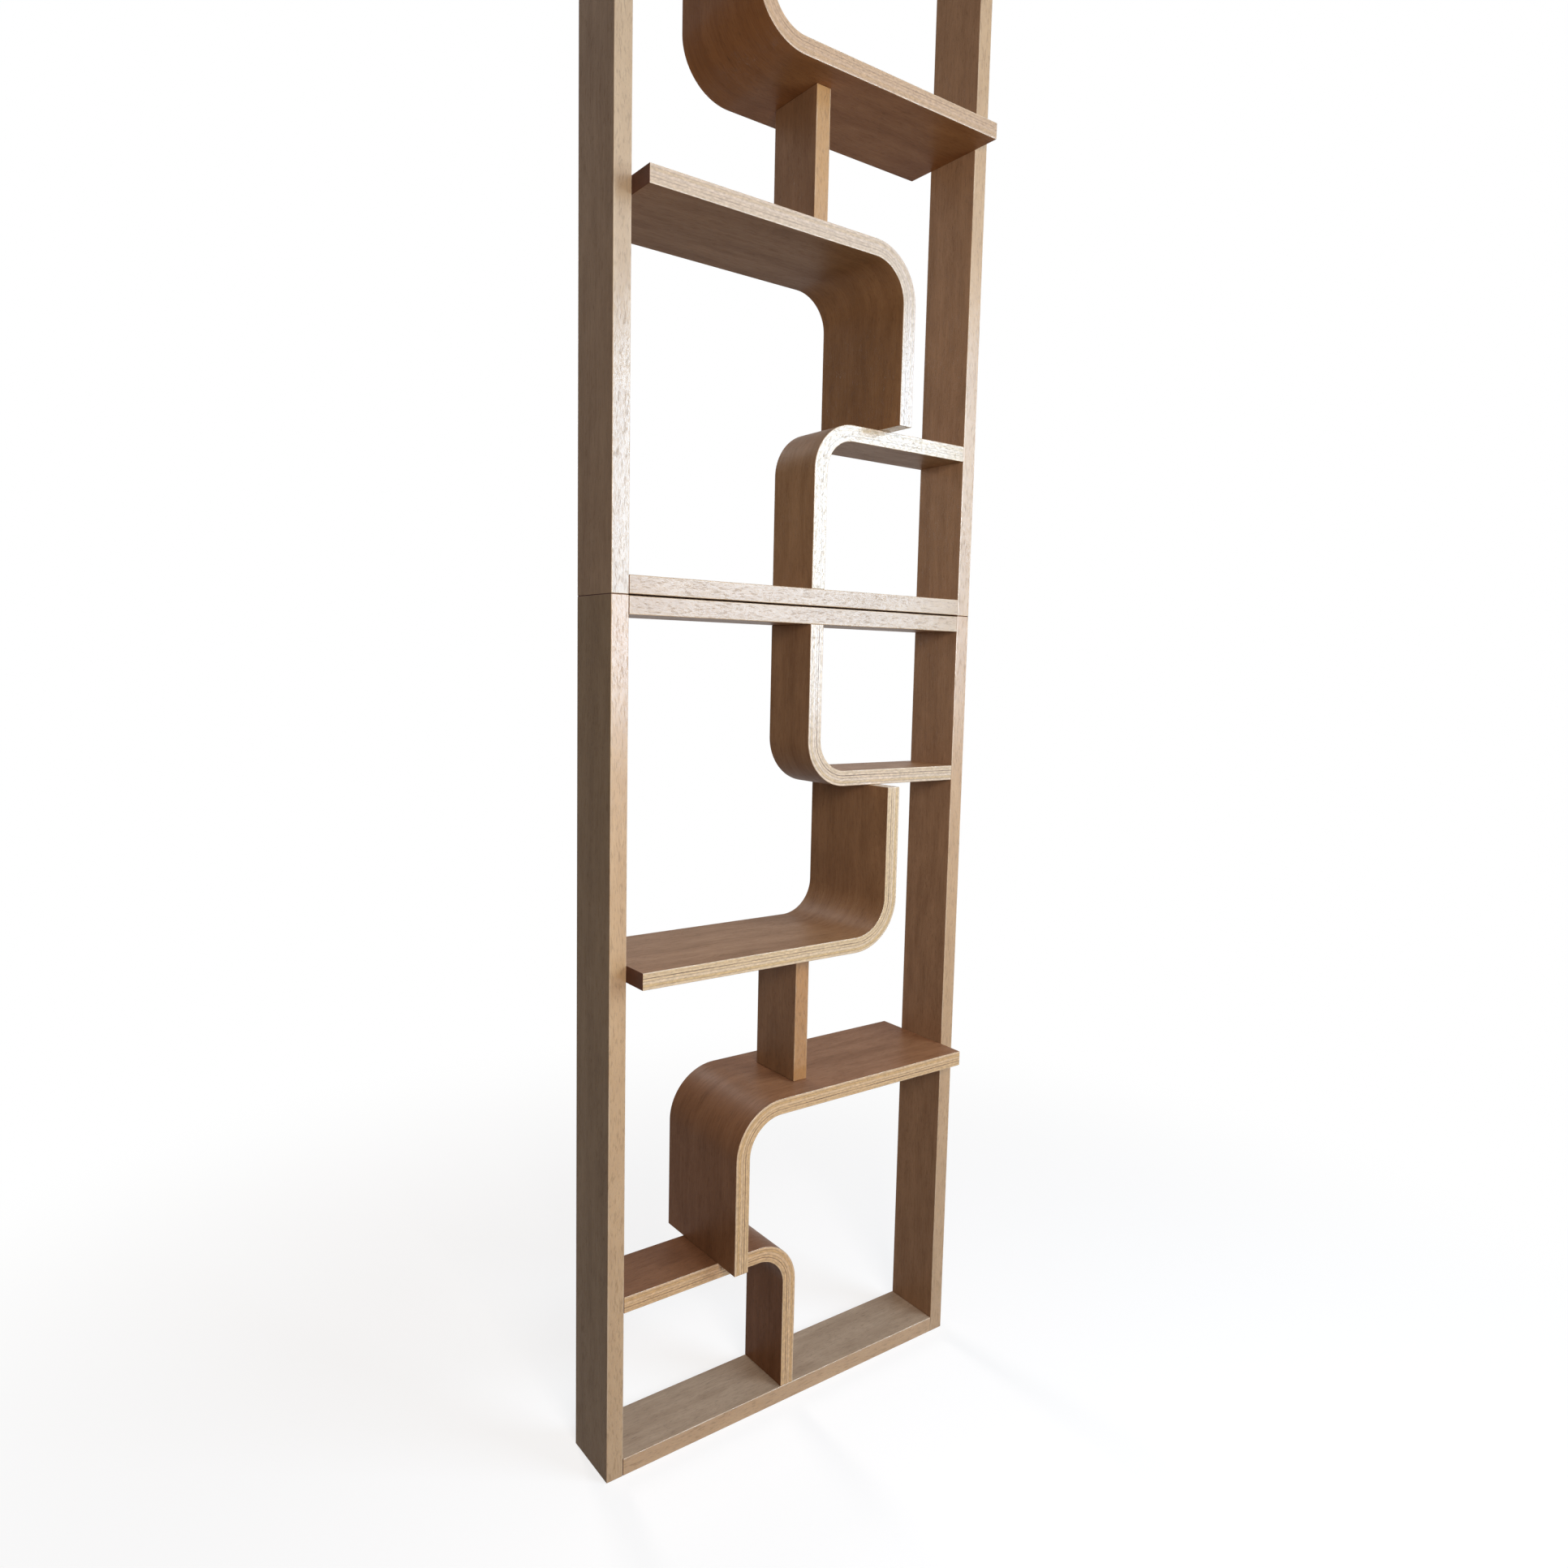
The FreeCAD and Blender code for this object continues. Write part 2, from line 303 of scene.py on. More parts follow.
class StageSettings(bpy.types.PropertyGroup):
    """Camera, lamps and floor."""
    eye: FloatVectorProperty(
        name="Eye", description="Place of the camera", subtype="TRANSLATION", size=3,
        default=(-1.00066, -1.33904, 1.1574))
    yaw: FloatProperty(
        name="Yaw", description="Turn of the camera from +Y towards +X", subtype="ANGLE", default=0.6387)
    pitch: FloatProperty(
        name="Pitch", description="Tilt of the camera, up is positive", subtype="ANGLE", default=-0.10541)
    roll: FloatProperty(
        name="Roll", description="Turn of the camera about its own axis", subtype="ANGLE", default=0.02221)
    focal_pixels: FloatProperty(
        name="Focal length", description="Focal length in pixels of the photograph", default=1342.8)
    floor_size: FloatProperty(
        name="Floor", description="Width of the floor", default=60.0, unit="LENGTH")
    key_power: FloatProperty(
        name="Key light", description="Power of the large cool light at the right",
        default=66.0, unit="POWER")
    front_power: FloatProperty(
        name="Front light", description="Power of the light beside and above the camera",
        default=31.0, unit="POWER")
    top_power: FloatProperty(
        name="Top light", description="Power of the light overhead", default=8.0, unit="POWER")
    back_power: FloatProperty(
        name="Back light", description="Power of the light behind the unit", default=32.0, unit="POWER")
    sky: FloatProperty(
        name="Sky", description="Strength of the even light from all around", default=0.07)


def settings(group):
    """One of the scene's setting groups."""
    return getattr(bpy.context.scene, "wall_unit_" + group)


# Node helpers

def add_node(tree, kind, inputs=None, **options):
    """New node with its options. Each input is a value, or an output socket to link."""
    node = tree.nodes.new(kind)
    for name, value in options.items():
        setattr(node, name, value)
    for name, value in (inputs or {}).items():
        connect(tree, node.inputs[name], value)
    return node


def connect(tree, socket, value):
    """Links an output socket to an input, or sets the input's own value."""
    if isinstance(value, bpy.types.NodeSocket):
        tree.links.new(value, socket)
    else:
        socket.default_value = value


def calc(tree, operation, *values, clamp=False):
    """Result of a math node."""
    node = add_node(tree, "ShaderNodeMath", dict(enumerate(values)), operation=operation, use_clamp=clamp)
    return node.outputs[0]


def vector_calc(tree, operation, *values):
    """Vector result of a vector math node."""
    node = add_node(tree, "ShaderNodeVectorMath", dict(enumerate(values)), operation=operation)
    return node.outputs["Vector"]


def scaled(tree, vector, factor):
    """A vector times a number."""
    node = add_node(tree, "ShaderNodeVectorMath", {0: vector, "Scale": factor}, operation="SCALE")
    return node.outputs["Vector"]


def parts_of(tree, vector):
    """The three numbers of a vector."""
    return add_node(tree, "ShaderNodeSeparateXYZ", {0: vector}).outputs


def vector_of(tree, x, y, z):
    """A vector from three numbers."""
    return add_node(tree, "ShaderNodeCombineXYZ", {0: x, 1: y, 2: z}).outputs[0]


def new_group(name, kind, inputs, outputs):
    """Empty node group with named sockets, its input sockets and its output node."""
    tree = bpy.data.node_groups.new(name, kind)
    for side, sockets in (("INPUT", inputs), ("OUTPUT", outputs)):
        for socket_name, socket_type in sockets:
            tree.interface.new_socket(socket_name, in_out=side, socket_type="NodeSocket" + socket_type)
    given = tree.nodes.new("NodeGroupInput").outputs
    result = tree.nodes.new("NodeGroupOutput").inputs
    return tree, given, result


def place_group(tree, group, inputs):
    """A node group placed in another tree."""
    kind = "ShaderNodeGroup" if tree.type == "SHADER" else "GeometryNodeGroup"
    return add_node(tree, kind, inputs, node_tree=group)


# Node trees of the boards

CARRIED_SOCKETS = [
    ("Length", "Float"), ("Depth", "Float"), ("Thickness", "Float"), ("Arris", "Float"),
    ("Grain Start", "Float"), ("Face Tint", "Vector"), ("Edge Tint", "Vector"), ("Polish", "Float"),
]
BLANK_SOCKETS = CARRIED_SOCKETS + [
    ("Segments", "Int"), ("Slice From", "Float"), ("Slice To", "Float"),
    ("Bore Radius", "Float"), ("Bore Depth", "Float"),
]
PIECE_SOCKETS = CARRIED_SOCKETS + [
    ("Face Finish", "Material"), ("Edge Finish", "Material"), ("End Finish", "Material"),
]


def store(tree, geometry, name, kind, domain, value):
    """Geometry with a named attribute stored on it."""
    node = add_node(
        tree, "GeometryNodeStoreNamedAttribute", {"Geometry": geometry, "Name": name, "Value": value},
        data_type=kind, domain=domain)
    return node.outputs["Geometry"]


def bored(tree, solid, given, half):
    """The board with a blind hole in the middle of its first end, where a bore radius is given."""
    drill = add_node(tree, "GeometryNodeMeshCylinder", {
        "Vertices": BORE_SIDES, "Radius": given["Bore Radius"],
        "Depth": calc(tree, "MULTIPLY", given["Bore Depth"], 2.0)})
    end = vector_of(tree, calc(tree, "MULTIPLY", parts_of(tree, half)[0], -1.0), 0.0, 0.0)
    placed = add_node(tree, "GeometryNodeTransform", {
        "Geometry": drill.outputs["Mesh"], "Translation": end, "Rotation": (0.0, QUARTER_TURN, 0.0)})
    cut = add_node(tree, "GeometryNodeMeshBoolean", {"Mesh 1": solid, "Mesh 2": placed.outputs[0]},
                   operation="DIFFERENCE", solver="EXACT")
    chosen = add_node(tree, "GeometryNodeSwitch", {
        "Switch": calc(tree, "GREATER_THAN", given["Bore Radius"], 0.0),
        "False": solid, "True": cut.outputs["Mesh"]}, input_type="GEOMETRY")
    return chosen.outputs[0]


def blank_tree():
    """A straight board along X about the origin with eased arrises, cut to a slice of its depth."""
    tree, given, result = new_group(
        "Eased blank", "GeometryNodeTree", BLANK_SOCKETS, [("Geometry", "Geometry")])
    half = scaled(tree, vector_of(tree, given["Length"], given["Depth"], given["Thickness"]), 0.5)
    cube = add_node(tree, "GeometryNodeMeshCube", {
        "Size": (2.0, 2.0, 2.0), "Vertices X": given["Segments"],
        "Vertices Y": CROSS_POINTS, "Vertices Z": CROSS_POINTS})
    position = add_node(tree, "GeometryNodeInputPosition").outputs[0]
    # The last steps of each side make the arris, the others share out the flat between
    last = vector_of(tree, calc(tree, "SUBTRACT", given["Segments"], 1), CROSS_POINTS - 1, CROSS_POINTS - 1)
    middle = scaled(tree, last, 0.5)
    away = vector_calc(tree, "ABSOLUTE", position)
    from_end = vector_calc(tree, "MULTIPLY", middle, vector_calc(tree, "SUBTRACT", (1, 1, 1), away))
    arris_vector = vector_of(tree, given["Arris"], given["Arris"], given["Arris"])
    flat = vector_calc(tree, "SUBTRACT", half, arris_vector)
    arris_limit = (ARRIS_STEPS, ARRIS_STEPS, ARRIS_STEPS)
    arris_part = scaled(tree, vector_calc(tree, "MINIMUM", from_end, arris_limit),
                        calc(tree, "DIVIDE", given["Arris"], ARRIS_STEPS))
    flat_steps = vector_calc(tree, "MAXIMUM", vector_calc(tree, "SUBTRACT", from_end, arris_limit), (0, 0, 0))
    flat_share = vector_calc(tree, "DIVIDE", flat, vector_calc(tree, "SUBTRACT", middle, arris_limit))
    inset = vector_calc(tree, "ADD", arris_part, vector_calc(tree, "MULTIPLY", flat_steps, flat_share))
    corner = vector_calc(tree, "MULTIPLY", vector_calc(tree, "SIGN", position),
                         vector_calc(tree, "SUBTRACT", half, inset))
    # Corners are drawn in to a quarter round about the flat part
    inner = vector_calc(tree, "MINIMUM", vector_calc(tree, "MAXIMUM", corner, scaled(tree, flat, -1.0)), flat)
    outward = vector_calc(tree, "NORMALIZE", vector_calc(tree, "SUBTRACT", corner, inner))
    rounded = parts_of(tree, vector_calc(tree, "ADD", inner, scaled(tree, outward, given["Arris"])))
    across = calc(tree, "MINIMUM", calc(tree, "MAXIMUM", rounded[1], given["Slice From"]), given["Slice To"])
    place = vector_of(tree, rounded[0], across, rounded[2])
    shaped = add_node(tree, "GeometryNodeSetPosition", {"Geometry": cube.outputs["Mesh"], "Position": place})
    solid = add_node(tree, "GeometryNodeMergeByDistance", {
        "Geometry": shaped.outputs[0], "Distance": MERGE_DISTANCE}).outputs[0]
    solid = bored(tree, solid, given, half)
    along = add_node(tree, "GeometryNodeInputPosition").outputs[0]
    grain = vector_calc(tree, "ADD", along, vector_of(tree, given["Grain Start"], 0.0, 0.0))
    normal = parts_of(tree, add_node(tree, "GeometryNodeInputNormal").outputs[0])
    vectors = {
        GRAIN_PLACE: grain, HALF_SIZE: half, FACE_TINT: given["Face Tint"], EDGE_TINT: given["Edge Tint"]}
    geometry = solid
    for name, value in vectors.items():
        geometry = store(tree, geometry, name, "FLOAT_VECTOR", "POINT", value)
    geometry = store(tree, geometry, EDGE_POLISH, "FLOAT", "POINT", given["Polish"])
    for name, axis, limit in ((BOARD_END, 0, END_LIMIT), (BOARD_FACE, 2, FACE_LIMIT)):
        square = calc(tree, "GREATER_THAN", calc(tree, "ABSOLUTE", normal[axis]), limit)
        geometry = store(tree, geometry, name, "BOOLEAN", "FACE", square)
    connect(tree, result["Geometry"], geometry)
    return tree


def finish_faces(tree, geometry, given, result):
    """Last nodes of a piece's tree: realized geometry with its edge, face and end finishes."""
    realized = add_node(tree, "GeometryNodeRealizeInstances", {"Geometry": geometry})
    coated = add_node(tree, "GeometryNodeSetMaterial", {
        "Geometry": realized.outputs[0], "Material": given["Edge Finish"]})
    for name, finish in ((BOARD_FACE, "Face Finish"), (BOARD_END, "End Finish")):
        chosen = add_node(tree, "GeometryNodeInputNamedAttribute", {"Name": name}, data_type="BOOLEAN")
        coated = add_node(tree, "GeometryNodeSetMaterial", {
            "Geometry": coated.outputs[0], "Selection": chosen.outputs["Attribute"],
            "Material": given[finish]})
    connect(tree, result["Geometry"], coated.outputs[0])


def board_tree(blank):
    """A straight board's core, or the two strips on its edges."""
    tree, given, result = new_group("Lipped board", "GeometryNodeTree", PIECE_SOCKETS + [
        ("Core Depth", "Float"), ("Edge Strips", "Bool"), ("Centre", "Vector"), ("Turn", "Vector"),
        ("Bore Radius", "Float"), ("Bore Depth", "Float"),
    ], [("Geometry", "Geometry")])
    core_side = calc(tree, "MULTIPLY", given["Core Depth"], 0.5)
    board_side = calc(tree, "MULTIPLY", given["Depth"], 0.5)
    core_front = calc(tree, "MULTIPLY", core_side, -1.0)
    board_front = calc(tree, "MULTIPLY", board_side, -1.0)
    sizes = {name: given[name] for name, kind in CARRIED_SOCKETS}
    slices = []
    for start, end in ((core_front, core_side), (board_front, core_front), (core_side, board_side)):
        part = place_group(tree, blank, {
            **sizes, "Segments": CROSS_POINTS, "Slice From": start, "Slice To": end})
        slices.append(part)
    for name in ("Bore Radius", "Bore Depth"):
        connect(tree, slices[0].inputs[name], given[name])
    strips = add_node(tree, "GeometryNodeJoinGeometry")
    for strip in slices[1:]:
        tree.links.new(strip.outputs[0], strips.inputs[0])
    chosen = add_node(tree, "GeometryNodeSwitch", {
        "Switch": given["Edge Strips"], "False": slices[0].outputs[0], "True": strips.outputs[0]},
        input_type="GEOMETRY")
    turn = add_node(tree, "FunctionNodeEulerToRotation", {0: given["Turn"]})
    placed = add_node(tree, "GeometryNodeTransform", {
        "Geometry": chosen.outputs[0], "Translation": given["Centre"], "Rotation": turn.outputs[0]})
    finish_faces(tree, placed.outputs[0], given, result)
    return tree


def strip_tree(blank):
    """A pressed strip: a flat blank that runs out along a shelf and turns into a leg."""
    tree, given, result = new_group("Bent strip", "GeometryNodeTree", PIECE_SOCKETS + [
        ("Segments", "Int"), ("Bend Radius", "Float"), ("Flat", "Float"),
        ("Shelf End", "Vector"), ("Shelf Direction", "Vector"), ("Leg Direction", "Vector"),
    ], [("Geometry", "Geometry")])
    side = calc(tree, "MULTIPLY", given["Depth"], 0.5)
    sizes = {name: given[name] for name, kind in CARRIED_SOCKETS}
    flat_strip = place_group(tree, blank, {
        **sizes, "Segments": given["Segments"], "Slice From": calc(tree, "MULTIPLY", side, -1.0),
        "Slice To": side})
    # Only the end of the shelf is stained, the end of the leg shows its layers
    normal = parts_of(tree, add_node(tree, "GeometryNodeInputNormal").outputs[0])
    is_shelf_end = calc(tree, "LESS_THAN", normal[0], -END_LIMIT)
    flat_strip = store(tree, flat_strip.outputs[0], BOARD_END, "BOOLEAN", "FACE", is_shelf_end)
    place = parts_of(tree, add_node(tree, "GeometryNodeInputPosition").outputs[0])
    along = calc(tree, "ADD", place[0], calc(tree, "MULTIPLY", given["Length"], 0.5))
    past_flat = calc(tree, "SUBTRACT", along, given["Flat"])
    turn = calc(tree, "DIVIDE", past_flat, given["Bend Radius"])
    turn = calc(tree, "MINIMUM", calc(tree, "MAXIMUM", turn, 0.0), QUARTER_TURN)
    sine = calc(tree, "SINE", turn)
    cosine = calc(tree, "COSINE", turn)
    leg = calc(tree, "SUBTRACT", past_flat, calc(tree, "MULTIPLY", given["Bend Radius"], QUARTER_TURN))
    leg = calc(tree, "MAXIMUM", leg, 0.0)
    # The middle line runs along the flat, round the bend and down the leg; the thickness is square to it
    run = calc(tree, "ADD", calc(tree, "MINIMUM", along, given["Flat"]),
               calc(tree, "MULTIPLY", given["Bend Radius"], sine))
    run = calc(tree, "ADD", run, calc(tree, "MULTIPLY", place[2], sine))
    fall = calc(tree, "MULTIPLY", given["Bend Radius"], calc(tree, "SUBTRACT", 1.0, cosine))
    fall = calc(tree, "ADD", fall, leg)
    fall = calc(tree, "SUBTRACT", fall, calc(tree, "MULTIPLY", place[2], cosine))
    width_axis = vector_calc(tree, "CROSS_PRODUCT", given["Shelf Direction"], given["Leg Direction"])
    spot = given["Shelf End"]
    steps = ((given["Shelf Direction"], run), (given["Leg Direction"], fall), (width_axis, place[1]))
    for direction, distance in steps:
        spot = vector_calc(tree, "ADD", spot, scaled(tree, direction, distance))
    bent = add_node(tree, "GeometryNodeSetPosition", {"Geometry": flat_strip, "Position": spot})
    smooth = add_node(tree, "GeometryNodeSetShadeSmooth", {0: bent.outputs[0], "Shade Smooth": True})
    angle = add_node(tree, "GeometryNodeInputMeshEdgeAngle").outputs["Unsigned Angle"]
    is_sharp = calc(tree, "GREATER_THAN", angle, SMOOTH_ANGLE)
    creased = add_node(tree, "GeometryNodeSetShadeSmooth", {
        0: smooth.outputs[0], "Selection": is_sharp, "Shade Smooth": False}, domain="EDGE")
    finish_faces(tree, creased.outputs[0], given, result)
    return tree


def new_object(name, data):
    """New object in the scene."""
    thing = bpy.data.objects.new(name, data)
    bpy.context.scene.collection.objects.link(thing)
    return thing


def make_piece(name, tree, values):
    """Plain mesh object that a node tree makes with these input values."""
    piece = new_object(name, bpy.data.meshes.new(name))
    modifier = piece.modifiers.new("Shape", "NODES")
    modifier.node_group = tree
    for item in tree.interface.items_tree:
        if item.item_type == "SOCKET" and item.in_out == "INPUT":
            modifier[item.identifier] = values[item.name]
    graph = bpy.context.evaluated_depsgraph_get()
    mesh = bpy.data.meshes.new_from_object(
        piece.evaluated_get(graph), preserve_all_data_layers=True, depsgraph=graph)
    piece.modifiers.clear()
    piece.data = mesh
    return piece


def hand_over(piece, module, node):
    """The piece moves with its module and stands for a CAD node."""
    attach(piece, module + "_module")
    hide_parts(node)


# Shader groups

def noise(tree, place, along, across, detail, roughness=NOISE_ROUGHNESS):
    """Noise with cells of one length along the grain and one width across it."""
    cells = vector_calc(tree, "MULTIPLY", place, (1 / along, 1 / across, 1 / across))
    node = add_node(tree, "ShaderNodeTexNoise", {
        "Vector": cells, "Scale": 1.0, "Detail": detail, "Roughness": roughness})
    return node.outputs[0]


def swing(tree, place, cells):
    """Noise that goes about as far below zero as above it."""
    return calc(tree, "SUBTRACT", noise(tree, place, *cells), NOISE_MIDDLE)


def own_value(tree, number):
    """A value from 0 to 1 that belongs to a whole number."""
    return add_node(tree, "ShaderNodeTexWhiteNoise", {"W": number}, noise_dimensions="1D").outputs[0]


def ramp(tree, value, low, high, start=0.0, end=1.0):
    """Smooth step of a value from one limit to another."""
    node = add_node(tree, "ShaderNodeMapRange", {
        "Value": value, "From Min": low, "From Max": high, "To Min": start, "To Max": end},
        interpolation_type="SMOOTHSTEP")
    return node.outputs["Result"]


def mixed(tree, factor, first, second, blend="MIX"):
    """Colour between two colours."""
    node = add_node(tree, "ShaderNodeMix", {0: factor, 6: first, 7: second},
                    data_type="RGBA", blend_type=blend)
    return node.outputs[2]


def shaded(tree, colour, shade):
    """A colour times a number."""
    return mixed(tree, 1.0, colour, vector_of(tree, shade, shade, shade), "MULTIPLY")


def wood_figure_group():
    """Wood with bands, streaks and mottle along the first axis, and dark flecks and pores."""
    tree, given, result = new_group("Wood figure", "ShaderNodeTree", [
        ("Place", "Vector"), ("Pale", "Color"), ("Dark", "Color"), ("Contrast", "Float"), ("Pores", "Float"),
        ("Flecks", "Float"),
    ], [("Color", "Color"), ("Pore", "Float"), ("Roughness", "Float")])
    wander = calc(tree, "MULTIPLY", swing(tree, given["Place"], WANDER_NOISE), WANDER)
    place = vector_calc(tree, "ADD", given["Place"], vector_of(tree, 0.0, wander, wander))
    figure = 0.0
    for cells, weight in FIGURE_LAYERS:
        figure = calc(tree, "MULTIPLY_ADD", swing(tree, place, cells), weight, figure)
    figure = calc(tree, "MULTIPLY_ADD", figure, given["Contrast"], NOISE_MIDDLE, clamp=True)
    fleck = ramp(tree, noise(tree, place, *FLECK_NOISE), *FLECK_RAMP)
    fleck = calc(tree, "MULTIPLY", fleck, given["Flecks"])
    pore = ramp(tree, noise(tree, place, *PORE_NOISE), *PORE_RAMP)
    pore = calc(tree, "MULTIPLY", pore, given["Pores"])
    shade = calc(tree, "MULTIPLY_ADD", pore, PORE_SHADE, 1.0)
    shade = calc(tree, "MULTIPLY_ADD", fleck, FLECK_SHADE, shade)
    roughness = calc(tree, "MULTIPLY", figure, FIGURE_ROUGHNESS)
    roughness = calc(tree, "MULTIPLY_ADD", fleck, FLECK_ROUGHNESS, roughness)
    connect(tree, result["Color"], shaded(tree, mixed(tree, figure, given["Dark"], given["Pale"]), shade))
    connect(tree, result["Pore"], calc(tree, "MAXIMUM", pore, fleck))
    connect(tree, result["Roughness"], roughness)
    return tree


def ply_group():
    """Layers of a pressed strip, counted from its inner face, with glue lines between them."""
    tree, given, result = new_group("Ply layers", "ShaderNodeTree", [
        ("Place", "Vector"), ("Half Size", "Vector"), ("Ply", "Float"),
        ("Pale", "Color"), ("Tan", "Color"), ("Glue", "Color"), ("Contrast", "Float"),
    ], [("Color", "Color"), ("Line", "Float")])
    place = given["Place"]
    through = parts_of(tree, place)[2]
    half_thickness = parts_of(tree, given["Half Size"])[2]
    layer = calc(tree, "DIVIDE", calc(tree, "ADD", through, half_thickness), given["Ply"])
    layer = calc(tree, "MULTIPLY_ADD", swing(tree, place, SWAY_NOISE), SWAY, layer)
    # Every second layer is turned, and shows paler
    number = calc(tree, "FLOOR", layer)
    turned = calc(tree, "FLOORED_MODULO", number, 2.0)
    tone = calc(tree, "MULTIPLY", own_value(tree, number), LAYER_TONE)
    tone = calc(tree, "MULTIPLY_ADD", turned, TURNED_TONE, tone)
    tone = calc(tree, "SUBTRACT", tone, NOISE_MIDDLE)
    tone = calc(tree, "MULTIPLY_ADD", tone, given["Contrast"], NOISE_MIDDLE)
    nearest = calc(tree, "ROUND", layer)
    off_line = calc(tree, "ABSOLUTE", calc(tree, "SUBTRACT", layer, nearest))
    heavy = calc(tree, "COMPARE", nearest, HEAVY_LINE, 0.5)
    line_weight = calc(tree, "MULTIPLY_ADD", own_value(tree, nearest), LINE_SPREAD, FAINT_LINE)
    line_weight = calc(tree, "MAXIMUM", line_weight, heavy)
    # The glue shows now strongly, now faintly along each line
    line = calc(tree, "MULTIPLY", ramp(tree, off_line, *LINE_RAMP), line_weight)
    line = calc(tree, "MULTIPLY", line, ramp(tree, noise(tree, place, *PATCH_NOISE), *PATCH_RAMP))
    line = calc(tree, "MULTIPLY", line, given["Contrast"])
    colour = mixed(tree, line, mixed(tree, tone, given["Tan"], given["Pale"]), given["Glue"])
    speckle = noise(tree, place, *SPECKLE_NOISE)
    shade = calc(tree, "SUBTRACT", speckle, NOISE_MIDDLE)
    shade = calc(tree, "MULTIPLY_ADD", shade, SPECKLE_SHADE, 1.0)
    connect(tree, result["Color"], shaded(tree, colour, shade))
    connect(tree, result["Line"], calc(tree, "MAXIMUM", line, ramp(tree, speckle, *SPECKLE_RAMP)))
    return tree


def wear_and_highlight_group():
    """Places along the long arrises paled by use, and by a painted highlight."""
    tree, given, result = new_group("Arris wear", "ShaderNodeTree", [
        ("Place", "Vector"), ("Half Size", "Vector"), ("Reach", "Float"),
    ], [("Mask", "Float")])
    across, through = parts_of(tree, given["Place"])[1:]
    half_depth, half_thickness = parts_of(tree, given["Half Size"])[1:]
    from_edge = calc(tree, "SUBTRACT", half_depth, calc(tree, "ABSOLUTE", across))
    from_face = calc(tree, "SUBTRACT", half_thickness, calc(tree, "ABSOLUTE", through))
    distance = calc(tree, "MAXIMUM", from_edge, from_face)
    near = calc(tree, "SUBTRACT", 1.0, calc(tree, "DIVIDE", distance, given["Reach"]), clamp=True)
    rubbed_and_highlit = ramp(tree, noise(tree, given["Place"], *WEAR_AND_HIGHLIGHT_NOISE), *WEAR_AND_HIGHLIGHT_RAMP)
    connect(tree, result["Mask"], calc(tree, "MULTIPLY", near, rubbed_and_highlit))
    return tree


def shader_group(name):
    """One of the shared shader groups, built on first use."""
    makers = {
        "Wood figure": wood_figure_group,
        "Ply layers": ply_group,
        "Arris wear": wear_and_highlight_group,
    }
    return bpy.data.node_groups.get(name) or makers[name]()


# Finishes

def attribute(tree, name, output="Vector"):
    """Attribute of the surface."""
    node = add_node(tree, "ShaderNodeAttribute", attribute_name=name, attribute_type="GEOMETRY")
    return node.outputs[output]


def new_material(name):
    """Empty material with a Principled shader: the material, its tree and the shader's inputs."""
    material = bpy.data.materials.new(name)
    material.use_nodes = True
    return material, material.node_tree, material.node_tree.nodes["Principled BSDF"].inputs


def lacquer(tree, shader, colour, roughness, hollows, shine):
    """Satin lacquer over a colour, sunk a little where the wood has hollows."""
    bump = add_node(tree, "ShaderNodeBump", {
        "Height": calc(tree, "SUBTRACT", 1.0, hollows), "Distance": RELIEF, "Strength": RELIEF_STRENGTH})
    connect(tree, shader["Base Color"], colour)
    connect(tree, shader["Roughness"], roughness)
    connect(tree, shader["Normal"], bump.outputs[0])
    shader["Specular IOR Level"].default_value = shine


def polish(tree, shader, hollows):
    """Clear polish over the lacquer, thin where hollows and grit break it."""
    unbroken = calc(tree, "MULTIPLY_ADD", hollows, -HOLLOW_DULLING, 1.0)
    grit = noise(tree, attribute(tree, GRAIN_PLACE), *GRIT_NOISE)
    unbroken = calc(tree, "MULTIPLY", unbroken, ramp(tree, grit, *GRIT_RAMP))
    weight = calc(tree, "MULTIPLY", attribute(tree, EDGE_POLISH, "Fac"), unbroken)
    connect(tree, shader["Coat Weight"], weight)
    shader["Coat Roughness"].default_value = POLISH_ROUGHNESS
    shader["Coat IOR"].default_value = POLISH_IOR


def tinted_worn_and_highlit(tree, colour, tint, rubbing_and_highlight):
    """A piece's colour times its tint, which holds painted light and shade as well as the wood's own tone,
    and made paler along the arrises by use and by a painted highlight.
    """
    colour = mixed(tree, 1.0, colour, attribute(tree, tint), "MULTIPLY")
    wear_and_highlight = place_group(tree, shader_group("Arris wear"), {
        "Place": attribute(tree, GRAIN_PLACE), "Half Size": attribute(tree, HALF_SIZE), "Reach": WEAR_AND_HIGHLIGHT_REACH})
    rubbed_and_highlit = calc(tree, "MULTIPLY", wear_and_highlight.outputs["Mask"], rubbing_and_highlight)
    return mixed(tree, rubbed_and_highlit, colour, settings("finish").rubbed_and_highlit)


def figured(tree, place, wood):
    """Colour, roughness and hollows of a figured wood."""
    finish = settings("finish")
    contrast, pores, flecks, roughness = WOODS[wood]
    figure = place_group(tree, shader_group("Wood figure"), {
        "Place": place, "Pale": getattr(finish, wood + "_pale"), "Dark": getattr(finish, wood + "_dark"),
        "Contrast": contrast, "Pores": pores, "Flecks": flecks}).outputs
    return figure["Color"], calc(tree, "ADD", figure["Roughness"], roughness), figure["Pore"]


def board_material(name, wood, tint, rubbing_and_highlight, shine):
    """Figured wood on the faces of boards and strips, or on edge strips, which are polished."""
    material, tree, shader = new_material(name)
    colour, roughness, pores = figured(tree, attribute(tree, GRAIN_PLACE), wood)
    lacquer(tree, shader, tinted_worn_and_highlit(tree, colour, tint, rubbing_and_highlight), roughness, pores, shine)
    if tint == EDGE_TINT:
        polish(tree, shader, pores)
    return material


